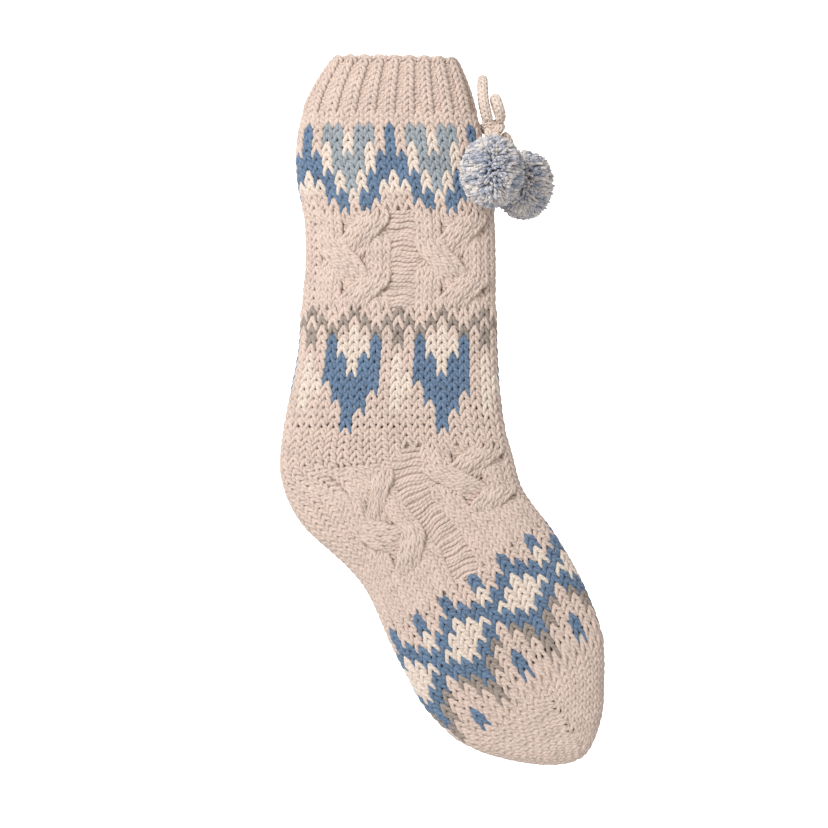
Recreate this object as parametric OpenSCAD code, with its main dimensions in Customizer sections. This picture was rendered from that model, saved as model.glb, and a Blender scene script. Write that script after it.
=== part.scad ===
// Chunky hand-knit hanging stocking with a cord bow and two pom-poms.
// +Z is up, +X points from the heel to the instep side, and the face shown to the room looks along -Y.
// The origin is where a hook bears on the underside of the front bow loop's top.

/* [Knitted tube] */
// Thickness of the knitted fabric
wall = 5; // [3.5:0.5:5.5]
// Half thickness of the lightly filled stocking at its middle
half_depth = 14.5; // [13:0.5:16]
// How square the tube's cross-section is, 2 being an ellipse
squareness = 2.6; // [2.2:0.1:3.2]
// Thickness of the yarn strands carried across the back of the colour work
float_thickness = 1.2; // [0.8:0.1:1.5]

/* [Cord and bow] */
// Diameter of the knitted cord
cord_d = 5.8; // [4:0.2:6]
// Diameter of the bow's knot
knot_d = 11.6; // [10:0.2:11.8]

/* [Pom-poms] */
// Diameter of the front pom-pom
pompom_front_d = 37; // [30:1:37]
// Diameter of the rear pom-pom
pompom_rear_d = 36; // [30:1:36]
// Thickness of the yarn that binds each pom-pom round its middle
binding_d = 3; // [2:0.2:3.4]

/* [Hidden] */

oatmeal = "#E6D5C7";
cream = "#EFE4D4";
blue = "#6C93BE";
pale_blue = "#B9CBD6";

clear = 0.3;        // running gap between neighbouring pieces
sides = 32;         // points round the knitted tube
cord_sides = 10;    // points round a cord
bore_gap = 0.7;     // room round a cord inside its pom-pom
pinch = 0.66;       // share of a cord's diameter left where the knot squeezes it
tucked = 0.8;       // the same at its end inside a pom-pom

// Stations down the tube. Each is a flat cut across it from the heel-side edge to the instep-side edge:
// [heel edge x, heel edge z, instep edge x, instep edge z, share of half_depth]
stations = [
    [ -85,   13.5, -14,   12.5, 0.88],  //  0 cast-on edge
    [ -94,   -2,    -9,   -2,   0.94],  //  1 middle of the rib
    [-101,  -17,    -4,  -17,   0.97],  //  2 foot of the rib
    [-105,  -37,     1.5,-37,   1.00],  //  3
    [-104,  -55,     4,  -55,   1.00],  //  4 widest part of the upper colour band
    [-101,  -72,     6.5,-72,   1.00],  //  5 top of the cables
    [-100,  -99,     7.5,-99,   1.00],  //  6
    [-102, -124,     7.5,-124,  1.00],  //  7 top of the lower colour band
    [-103.5,-150,    8, -150,   1.00],  //  8
    [-108, -174,     9.5,-174,  1.00],  //  9
    [-112, -195,    12.5,-195,  1.02],  // 10 foot of the lower colour band
    [-114, -215,    17, -211,   1.04],  // 11 back of the heel
    [-110, -233,    20, -223,   1.04],  // 12
    [ -99.5,-250,   23, -230,   1.04],  // 13 underside of the heel
    [ -77.5,-270.5, 27.5,-236.5,1.02],  // 14
    [ -64, -288.5,  32, -242.5, 1.00],  // 15
    [ -53, -312,    36, -247.5, 1.00],  // 16 top of the foot's colour band
    [ -44, -330,    47.5,-265,  1.00],  // 17
    [ -33, -350,    58.5,-286.5,0.98],  // 18
    [ -17, -367,    66.5,-308,  0.94],  // 19
    [  -7, -373,    68, -322,   0.92],  // 20 foot of the foot's colour band
    [   4, -377.5,  68, -331.5, 0.88],  // 21
    [  24, -382,    67.5,-350,  0.74],  // 22
    [  41, -383,    64.5,-363,  0.56],  // 23
    [  51, -381,    60, -373.5, 0.40]   // 24 grafted toe tip
];
toe_cavity_end = 22.6;  // station at which the hollow inside the toe ends

// Centre of the bow's knot, which sits against the instep-side edge of the leg
knot = [6.5, 0, -25.5];

// Routes of the cord: out of the knot, round, and back into it or down to a pom-pom
loop_front_half = [
    [3.4, -2.8, -20.8], [2.2, -5, -17], [1, -6.6, -11.5], [0.2, -6.9, -6], [0, -5.6, -1],
    [0, -3, 1.9], [0, 0, 2.9]
];
loop_rear_half = [
    [9.9, -3, -20.6], [10.2, -4.8, -18], [9.6, -6.9, -15.2], [8.4, -8, -12], [7.5, -6.4, -9.2],
    [7.2, -3.2, -8.3], [7.1, 0, -8.2]
];
tail_front_route = [
    [7.1, -5.2, -29.5], [7, -7.8, -30.3], [6.7, -10.8, -31.5], [6.4, -13.6, -33.2], [6.1, -16, -35.9],
    [5.7, -18.6, -39.6], [5.2, -22, -44.5], [4.5, -26.5, -51], [4.1, -29.3, -55.1]
];
tail_rear_route = [
    [12.2, 1.3, -28], [14, 2.2, -30.2], [15.1, 3, -32.8], [16, 3.7, -35.7], [17, 4.2, -38.3],
    [18.6, 4.9, -42.4], [20.7, 5.8, -47.7], [23.5, 7, -54.8], [25.7, 7.9, -60.3]
];
// On both tails the pom-pom's centre is one point of the route, and the cord runs straight to it from another
straight_from = 5;
centre_at = 7;

// ---- curves -------------------------------------------------------------------------------------

// Value at u (0..1) between b and c of a smooth curve that runs on through a and d
function smooth_between(a, b, c, d, u) =
    b + 0.5 * u * (c - a + u * (2 * a - 5 * b + 4 * c - d + u * (3 * b - a - 3 * c + d)));

// Point t of a smooth curve through a list, t counting the list's own entries
function along(list, t) =
    let (last = len(list) - 1, i = min(floor(t), last - 1), u = t - i)
    smooth_between(list[max(i - 1, 0)], list[i], list[i + 1], list[min(i + 2, last)], u);

function unit(v) = v / norm(v);

// A route that goes out along half a loop and back along its mirror image in Y
function whole_loop(half) =
    concat(half, [for (i = [len(half) - 2 : -1 : 0]) [half[i].x, -half[i].y, half[i].z]]);

// ---- the knitted tube ---------------------------------------------------------------------------

function rounded(c) = sign(c) * pow(abs(c), 2 / squareness);

// Ring of points round the tube at station t, set in from the fabric's outer face
function ring(t, inset) =
    let (
        s = along(stations, t),
        heel = [s[0], 0, s[1]],
        instep = [s[2], 0, s[3]],
        across = unit(instep - heel),
        half_w = norm(instep - heel) / 2 - inset,
        half_t = s[4] * half_depth - inset
    )
    [for (k = [0 : sides - 1])
        let (a = 360 * k / sides)
        (heel + instep) / 2 + across * half_w * rounded(cos(a)) + [0, half_t * rounded(sin(a)), 0]];

// Stations at which rings are cut between two stations
function cuts(from, to, count) = [for (i = [0 : count]) from + (to - from) * i / count];

function ring_start(i) = i * sides;

// Triangles between ring a and ring b, seen from outside when out is true
function skin_faces(a, b, out) =
    [for (k = [0 : sides - 1])
        let (n = (k + 1) % sides, p = ring_start(a) + k, q = ring_start(a) + n,
             r = ring_start(b) + k, s = ring_start(b) + n)
        each out ? [[p, q, s], [p, s, r]] : [[p, s, q], [p, r, s]]];

// A sleeve of fabric between two stations, open at both ends
module sleeve(from, to, count, outer_inset, inner_inset) {
    t = cuts(from, to, count);
    rings = count + 1;
    outer = [for (u = t) each ring(u, outer_inset)];
    inner = [for (u = t) each ring(u, inner_inset)];
    polyhedron(
        points = concat(outer, inner),
        faces = concat(
            [for (i = [0 : count - 1]) each skin_faces(i, i + 1, true)],
            [for (i = [0 : count - 1]) each skin_faces(rings + i, rings + i + 1, false)],
            skin_faces(0, rings, false),
            skin_faces(count, rings + count, true)
        ),
        convexity = 6
    );
}

// Closing triangles over one ring, from its first point
function lid_faces(a, up) =
    [for (k = [1 : sides - 2])
        up ? [ring_start(a), ring_start(a) + k, ring_start(a) + k + 1]
           : [ring_start(a), ring_start(a) + k + 1, ring_start(a) + k]];

// A closed cup of fabric: outside down to one station, hollow down to an earlier one
module cup(from, outer_end, inner_end, count) {
    outer = [for (u = cuts(from, outer_end, count)) each ring(u, 0)];
    inner = [for (u = cuts(from, inner_end, count)) each ring(u, wall)];
    rings = count + 1;
    polyhedron(
        points = concat(outer, inner),
        faces = concat(
            [for (i = [0 : count - 1]) each skin_faces(i, i + 1, true)],
            [for (i = [0 : count - 1]) each skin_faces(rings + i, rings + i + 1, false)],
            skin_faces(0, rings, false),
            lid_faces(count, true),
            lid_faces(rings + count, false)
        ),
        convexity = 6
    );
}

// Strands carried behind the colour work, as one thin lining sleeve
module floats(from, to, count) {
    sleeve(from, to, count, wall + clear, wall + clear + float_thickness);
}

module cuff_edge() { color(oatmeal) sleeve(0, 0.25, 1, 0, wall); }
module cuff_rib() { color(oatmeal) sleeve(0.25, 2, 4, 0, wall); }
module upper_band() { color(blue) sleeve(2, 5, 6, 0, wall); }
module upper_floats() { color(pale_blue) floats(2.5, 4.9, 4); }
module leg_cables() { color(oatmeal) sleeve(5, 7, 4, 0, wall); }
module lower_band() { color(blue) sleeve(7, 10, 6, 0, wall); }
module lower_floats() { color(cream) floats(7.1, 9.8, 4); }
module heel_cup() { color(oatmeal) sleeve(10, 12.7, 6, 0, wall); }
module ankle_gusset() { color(oatmeal) sleeve(12.7, 14, 3, 0, wall); }
module foot_cables() { color(oatmeal) sleeve(14, 16, 4, 0, wall); }
module foot_band() { color(blue) sleeve(16, 20, 8, 0, wall); }
module foot_floats() { color(cream) floats(16.1, 19.8, 5); }
module toe_cap() { color(oatmeal) cup(20, 24, toe_cavity_end, 8); }

// The short row of grafting that closes the toe, lying along the last station
module toe_graft() {
    s = stations[24];
    heel = [s[0], 0, s[1]];
    instep = [s[2], 0, s[3]];
    across = unit(instep - heel);
    outward = [across.z, 0, -across.x];
    graft_r = 1.6;
    color(cream)
        translate((heel + instep) / 2 + outward * (graft_r + 0.05))
            rotate([0, 90 - atan2(across.z, across.x), 0])
                cylinder(r = graft_r, h = norm(instep - heel) - 2, center = true, $fn = 24);
}

// ---- cord, bow and tails ------------------------------------------------------------------------

// Unit vector square to both a direction and the last side direction
function carry(side, dir) = unit(side - dir * (side * dir));

// Side direction at each point of a route, carried along it without twisting
function side_dirs(dirs, i = 0, side = [1, 0, 0.01]) =
    i == len(dirs) ? [] : let (s = carry(side, dirs[i])) concat([s], side_dirs(dirs, i + 1, s));

// A round cord swept along a smooth curve through a route, narrowed at its two ends
module cord(route, rings, start_share, end_share) {
    last = len(route) - 1;
    centre = [for (i = [0 : rings]) along(route, last * i / rings)];
    dirs = [for (i = [0 : rings]) unit(centre[min(i + 1, rings)] - centre[max(i - 1, 0)])];
    across = side_dirs(dirs);
    radius = [for (i = [0 : rings])
        cord_d / 2 * (i == 0 ? start_share : i == rings ? end_share : 1)];
    points = [for (i = [0 : rings]) for (k = [0 : cord_sides - 1])
        let (a = 360 * k / cord_sides)
        centre[i] + radius[i] * (cos(a) * across[i] + sin(a) * cross(dirs[i], across[i]))];
    polyhedron(
        points = points,
        faces = concat(
            [for (i = [0 : rings - 1]) for (k = [0 : cord_sides - 1])
                let (n = (k + 1) % cord_sides, p = i * cord_sides, q = p + cord_sides)
                each [[p + k, q + k, q + n], [p + k, q + n, p + n]]],
            [[for (k = [0 : cord_sides - 1]) k]],
            [[for (k = [cord_sides - 1 : -1 : 0]) rings * cord_sides + k]]
        ),
        convexity = 6
    );
}

// Short stretch of cord threaded through the leg's edge and into the knot
module cord_anchor() {
    color(oatmeal) translate([-6.5, 0, knot.z]) rotate([0, 90, 0]) cylinder(d = 4, h = 9, $fn = 32);
}
module bow_knot() { color(oatmeal) translate(knot) sphere(d = knot_d, $fn = 48); }
module bow_loop_front() { color(oatmeal) cord(whole_loop(loop_front_half), 18, pinch, pinch); }
module bow_loop_rear() { color(oatmeal) cord(whole_loop(loop_rear_half), 18, pinch, pinch); }
module tail_front() { color(oatmeal) cord(tail_front_route, 10, pinch, tucked); }
module tail_rear() { color(oatmeal) cord(tail_rear_route, 10, pinch, tucked); }

// ---- pom-poms -----------------------------------------------------------------------------------

// Places its children at a pom-pom's centre with +Z running back up its cord
module on_cord(route) {
    up = unit(route[straight_from] - route[centre_at]);
    translate(route[centre_at]) rotate([0, acos(up.z), atan2(up.y, up.x)]) children();
}

binding_ring_r = cord_d / 2 + bore_gap + binding_d / 2 + 0.4;
bore_depth = 8;     // how far a cord's passage runs on past its pom-pom's centre

module binding(extra) {
    rotate_extrude($fn = 48) translate([binding_ring_r, 0]) circle(d = binding_d + extra, $fn = 24);
}

// The tuft: a ball with the cord's passage and the groove in which the binding sits
module tuft(d) {
    difference() {
        sphere(d = d, $fn = 64);
        translate([0, 0, -bore_depth]) cylinder(d = cord_d + 2 * bore_gap, h = d, $fn = 32);
        binding(2 * clear);
    }
}
module pompom_front() { color(pale_blue) on_cord(tail_front_route) tuft(pompom_front_d); }
module pompom_front_binding() { color(cream) on_cord(tail_front_route) binding(0); }
module pompom_rear() { color(pale_blue) on_cord(tail_rear_route) tuft(pompom_rear_d); }
module pompom_rear_binding() { color(cream) on_cord(tail_rear_route) binding(0); }

cuff_edge();
cuff_rib();
upper_band();
upper_floats();
leg_cables();
lower_band();
lower_floats();
heel_cup();
ankle_gusset();
foot_cables();
foot_band();
foot_floats();
toe_cap();
toe_graft();
cord_anchor();
bow_knot();
bow_loop_front();
bow_loop_rear();
tail_front();
tail_rear();
pompom_front();
pompom_front_binding();
pompom_rear();
pompom_rear_binding();
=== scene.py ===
"""A knitted hanging stocking with a looped tie and two pom-poms, built stitch by stitch.

Every stitch is its own closed yarn tube: a loop from one sinker to the next. The stitches stand in
wales on the same section profile as the CAD, so the fabric lies just inside the CAD surface.
Lengths in the named tables are millimetres; everything handed to Blender is in metres.
"""

import math

import bpy
import numpy as np
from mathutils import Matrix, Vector


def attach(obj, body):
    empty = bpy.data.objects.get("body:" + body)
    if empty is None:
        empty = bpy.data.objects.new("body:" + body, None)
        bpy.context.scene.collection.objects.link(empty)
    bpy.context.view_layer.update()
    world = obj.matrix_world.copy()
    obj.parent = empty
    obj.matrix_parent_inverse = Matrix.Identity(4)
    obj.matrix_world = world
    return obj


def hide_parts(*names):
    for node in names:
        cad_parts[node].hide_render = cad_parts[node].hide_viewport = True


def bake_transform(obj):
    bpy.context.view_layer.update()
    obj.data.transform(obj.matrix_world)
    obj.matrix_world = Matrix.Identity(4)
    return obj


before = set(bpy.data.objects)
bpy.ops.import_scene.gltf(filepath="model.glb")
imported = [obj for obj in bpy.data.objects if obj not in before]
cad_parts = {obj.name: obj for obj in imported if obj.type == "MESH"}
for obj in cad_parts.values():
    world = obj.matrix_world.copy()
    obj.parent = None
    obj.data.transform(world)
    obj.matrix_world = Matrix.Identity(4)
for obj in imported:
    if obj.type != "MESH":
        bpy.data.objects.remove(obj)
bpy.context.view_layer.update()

MM = 0.001
rng = np.random.default_rng(11)

# ---- camera, light and stage

VIEW_MIDDLE = (-0.0387, -0.1859)  # x and z of the middle of the picture
VIEW_WIDTH = 0.4678
CAMERA_AWAY = 1.30
SENSOR = 36.0
STAGE_HALF = 1.6
FLOOR_Y = (-1.2, 1.0)
FLOOR_Z = -0.62
WALL_Y = 1.5
WALL_Z = (-1.4, 1.2)
WORLD_STRENGTH = 0.56
KEY_PLACE = (-0.76, -1.06, 0.56)
KEY_SIZE = 0.6
KEY_POWER = 16.0


def new_object(name, data):
    """An object that holds this data, linked into the scene."""
    obj = bpy.data.objects.new(name, data)
    bpy.context.scene.collection.objects.link(obj)
    return obj


def make_camera():
    """A camera square on to the stocking's side."""
    data = bpy.data.cameras.new("camera")
    data.sensor_width = SENSOR
    data.lens = SENSOR * CAMERA_AWAY / VIEW_WIDTH
    data.clip_end = 20
    obj = new_object("camera", data)
    obj.location = (VIEW_MIDDLE[0], -CAMERA_AWAY, VIEW_MIDDLE[1])
    obj.rotation_euler = (math.pi / 2, 0, 0)
    bpy.context.scene.camera = obj


def plain_material(name, grey, glow=0.0):
    """A matt grey surface, for the floor and the backdrop."""
    mat = bpy.data.materials.new(name)
    mat.use_nodes = True
    shader = mat.node_tree.nodes["Principled BSDF"]
    shader.inputs["Base Color"].default_value = (grey, grey, grey, 1)
    shader.inputs["Roughness"].default_value = 0.9
    shader.inputs["Specular IOR Level"].default_value = 0.1
    shader.inputs["Emission Color"].default_value = (1, 1, 1, 1)
    shader.inputs["Emission Strength"].default_value = glow
    return mat


def make_plane(name, corners, mat):
    mesh = bpy.data.meshes.new(name)
    mesh.from_pydata(corners, [], [(0, 1, 2, 3)])
    mesh.materials.append(mat)
    new_object(name, mesh)


def make_stage():
    """A pale floor below the stocking and a white backdrop behind it."""
    rim = ((-STAGE_HALF, 0), (STAGE_HALF, 0), (STAGE_HALF, 1), (-STAGE_HALF, 1))
    floor = [(x, FLOOR_Y[end], FLOOR_Z) for x, end in rim]
    wall = [(x, WALL_Y, WALL_Z[end]) for x, end in rim]
    make_plane("floor", floor, plain_material("pale_floor", 0.86))
    make_plane("backdrop", wall, plain_material("white_backdrop", 0.9, 1.0))


def make_light():
    """An even white world and one round soft lamp aimed at the middle of the picture."""
    world = bpy.data.worlds.new("studio")
    bpy.context.scene.world = world
    world.use_nodes = True
    background = world.node_tree.nodes["Background"]
    background.inputs["Color"].default_value = (1, 1, 1, 1)
    background.inputs["Strength"].default_value = WORLD_STRENGTH
    data = bpy.data.lights.new("key", "AREA")
    data.shape = "DISK"
    data.size = KEY_SIZE
    data.energy = KEY_POWER
    obj = new_object("key", data)
    obj.location = KEY_PLACE
    aim = Vector((VIEW_MIDDLE[0], 0, VIEW_MIDDLE[1])) - Vector(KEY_PLACE)
    obj.rotation_euler = aim.to_track_quat("-Z", "Y").to_euler()
    bpy.context.scene.view_settings.view_transform = "Standard"


# ---- the section profile

# Each station: heel side x, z, instep side x, z (mm) and the share of the half depth.
STATIONS = np.array([
    [-85, 13.5, -14, 12.5, 0.88],
    [-94, -2, -9, -2, 0.94],
    [-101, -17, -4, -17, 0.97],
    [-105, -37, 1.5, -37, 1],
    [-104, -55, 4, -55, 1],
    [-101, -72, 6.5, -72, 1],
    [-100, -99, 7.5, -99, 1],
    [-102, -124, 7.5, -124, 1],
    [-103.5, -150, 8, -150, 1],
    [-108, -174, 9.5, -174, 1],
    [-112, -195, 12.5, -195, 1.02],
    [-114, -215, 17, -211, 1.04],
    [-110, -233, 20, -223, 1.04],
    [-99.5, -250, 23, -230, 1.04],
    [-77.5, -270.5, 27.5, -236.5, 1.02],
    [-64, -288.5, 32, -242.5, 1],
    [-53, -312, 36, -247.5, 1],
    [-44, -330, 47.5, -265, 1],
    [-33, -350, 58.5, -286.5, 0.98],
    [-17, -367, 66.5, -308, 0.94],
    [-7, -373, 68, -322, 0.92],
    [4, -377.5, 68, -331.5, 0.88],
    [24, -382, 67.5, -350, 0.74],
    [41, -383, 64.5, -363, 0.56],
    [51, -381, 60, -373.5, 0.40],
])
HALF_DEPTH = 14.5
SQUARENESS = 2.6
LAST = len(STATIONS) - 1
WALES = 40  # wale 0 is on the heel and sole outline, wale 20 on the instep outline
FABRIC_IN = 1.20  # from the CAD surface to the middle of the fabric
PER_STATION = 16
PER_WALE = 6
DEPTH_WEIGHT = 1.25  # stitches spread this much more closely over the rounded edges
RING_SAMPLES = 241
LEAST_HALF = 1.0  # a section never gets thinner or narrower than this each way
NUDGE = 0.02  # the step in stations that gives a direction along the fabric


def smooth(rows, t):
    """Catmull-Rom through rows of numbers at real places t, as in the CAD."""
    top = len(rows) - 1
    t = np.clip(np.asarray(t, float), 0, top - 1e-9)
    i = t.astype(int)
    u = (t - i)[..., None]
    a, b, c, d = (rows[np.clip(i + step, 0, top)] for step in (-1, 0, 1, 2))
    return b + 0.5 * u * (c - a + u * (2 * a - 5 * b + 4 * c - d + u * (3 * b - a - 3 * c + d)))


def eased(x):
    """From 0 to 1 with a soft start and end."""
    x = np.clip(x, 0, 1)
    return x * x * (3 - 2 * x)


def rounded(value):
    """A cosine or sine bent from a circle to the section's squarer oval."""
    return np.sign(value) * np.abs(value) ** (2 / SQUARENESS)


def half_ring(station, inset):
    """Front half of one section from heel to instep, in equal steps."""
    heel = np.array([station[0], 0, station[1]])
    instep = np.array([station[2], 0, station[3]])
    reach = np.linalg.norm(instep - heel) / 2
    angle = np.linspace(math.pi, 0, RING_SAMPLES)
    across = max(reach - inset, LEAST_HALF) * rounded(np.cos(angle))
    depth = -max(HALF_DEPTH * station[4] - inset, LEAST_HALF) * rounded(np.sin(angle))
    run = np.hypot(np.diff(across), DEPTH_WEIGHT * np.diff(depth))
    length = np.concatenate([[0], np.cumsum(run)])
    even = np.linspace(0, length[-1], PER_WALE * WALES // 2 + 1)
    across = np.interp(even, length, across)[:, None]
    depth = np.interp(even, length, depth)[:, None]
    middle = (heel + instep) / 2
    return middle + across * (instep - heel) / (2 * reach) + depth * np.array([0, 1, 0])


def make_surface(inset):
    """Points and outward normals over all sections, wale 0 to 40 round each."""
    places = np.linspace(0, LAST, LAST * PER_STATION + 1)
    front = np.array([half_ring(s, inset) for s in smooth(STATIONS, places)])
    back = front[:, -2:0:-1] * np.array([1, -1, 1])
    points = np.concatenate([front, back], axis=1)
    down = np.gradient(points, axis=0)
    around = np.roll(points, -1, axis=1) - np.roll(points, 1, axis=1)
    normal = np.cross(down, around)
    normal /= np.linalg.norm(normal, axis=-1, keepdims=True) + 1e-9
    return points, normal


SURFACE, NORMALS = make_surface(FABRIC_IN)


def sample(grid, t, k):
    """Bilinear value of a surface grid at station t and wale k."""
    row = np.clip(np.asarray(t, float), 0, LAST) * PER_STATION
    col = np.mod(np.asarray(k, float), WALES) * PER_WALE
    i = np.clip(row.astype(int), 0, grid.shape[0] - 2)
    j = col.astype(int)
    u = (row - i)[..., None]
    v = (col - j)[..., None]
    n = grid.shape[1]
    a = grid[i, j % n] * (1 - v) + grid[i, (j + 1) % n] * v
    b = grid[i + 1, j % n] * (1 - v) + grid[i + 1, (j + 1) % n] * v
    return a * (1 - u) + b * u


def on_fabric(t, k):
    """Points at station t and wale k, going straight on past both ends."""
    t = np.asarray(t, float)
    point = sample(SURFACE, t, k)
    over = np.maximum(t - LAST, 0) + np.minimum(t, 0)
    inside = np.clip(t, NUDGE, LAST - NUDGE)
    step = (sample(SURFACE, inside + NUDGE, k) - sample(SURFACE, inside - NUDGE, k)) / (2 * NUDGE)
    return point + step * over[..., None]


# ---- wales and stitches


def wales_away(k):
    """How many wales k lies from the heel and sole outline, on either face."""
    k = np.mod(k, WALES)
    return np.minimum(k, WALES - k)


def on_face(k, back):
    """Wale k of the front, or the one behind it on the back."""
    return WALES - k if back else k


def unit(v):
    """Vectors of length one in the same directions."""
    return v / (np.linalg.norm(v, axis=-1, keepdims=True) + 1e-12)


def walked(points):
    """Distance walked along a line of points up to each of them."""
    step = np.linalg.norm(np.diff(points, axis=0), axis=1)
    return np.concatenate([[0], np.cumsum(step)])


def make_wale(path, k, rows, lift=0.0, width=1.0):
    """One column of stitches. path(k) gives stations and wales at each sample of rows."""
    t, kk = path(k)
    normal = unit(sample(NORMALS, t, kk))
    centre = on_fabric(t, kk) + normal * np.broadcast_to(lift, t.shape)[:, None]
    t0, k0 = path(k - 0.5)
    t1, k1 = path(k + 0.5)
    side = on_fabric(t1, k1) - on_fabric(t0, k0)
    tangent = unit(np.gradient(centre, axis=0))
    side = side - tangent * (side * tangent).sum(1, keepdims=True)
    normal = unit(normal - tangent * (normal * tangent).sum(1, keepdims=True))
    side = side * np.broadcast_to(width, t.shape)[:, None]
    return {"rows": rows, "centre": centre, "side": side, "normal": normal}


def along_wale(wale, what, rows):
    """A wale's centre, side or normal at any rows."""
    table = wale[what]
    return np.stack([np.interp(rows, wale["rows"], table[:, i]) for i in range(3)], axis=-1)


def laid(wale, rows, across, lift):
    """Points at rows of a wale, this many widths across and this high, and their normals."""
    side = along_wale(wale, "side", rows) * across[..., None]
    normal = along_wale(wale, "normal", rows)
    return along_wale(wale, "centre", rows) + side + normal * lift[..., None], normal


STITCH_SAMPLES = 25
REACH = 0.84  # rows from a loop's middle to its head
SWING = 0.28  # how far the legs lean, in stitch widths
STITCH_LIFT = 0.56  # how far the yarn rises and dips, in its own radii
PLACE_SHAKE = 0.035  # the unevenness of hand knitting: in rows,
SWING_SHAKE = 0.06  # as a share of the swing,
SIDE_SHAKE = 0.012  # in stitch widths,
LIFT_SHAKE = 0.08  # and as a share of the lift


def stitch_paths(wale, rows, yarn, purl=False, reach=REACH):
    """Centre lines and normals of the stitches that start at these rows."""
    n = len(rows)
    t = np.linspace(0, 2 * math.pi, STITCH_SAMPLES)[None, :]
    jitter = rng.normal(0, 1, (n, 4))
    place = rows[:, None] + 0.5 + PLACE_SHAKE * jitter[:, :1] - reach * np.cos(t)
    lean = SWING * (1 + SWING_SHAKE * jitter[:, 1:2])
    across = lean * np.sin(2 * t) + t / (2 * math.pi) - 0.5 + SIDE_SHAKE * jitter[:, 2:3]
    lift = -STITCH_LIFT * yarn * np.cos(2 * t) * (1 + LIFT_SHAKE * jitter[:, 3:4])
    return laid(wale, place, across, -lift if purl else lift)


NARROW = 0.275  # yarn radius of a stitch squeezed narrow, in stitch widths
FINEST = 0.62  # the finest it gets, as a share of the full radius


def knit_wale(yarn, wale, rows, radius, reach=REACH):
    """Adds a column of stitches, with finer yarn where the wale is narrow."""
    width = np.linalg.norm(along_wale(wale, "side", rows + 0.5), axis=1)
    fine = np.clip(NARROW * width, FINEST * radius, radius)[:, None]
    yarn.knit(wale, rows, fine, reach=reach)


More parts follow.
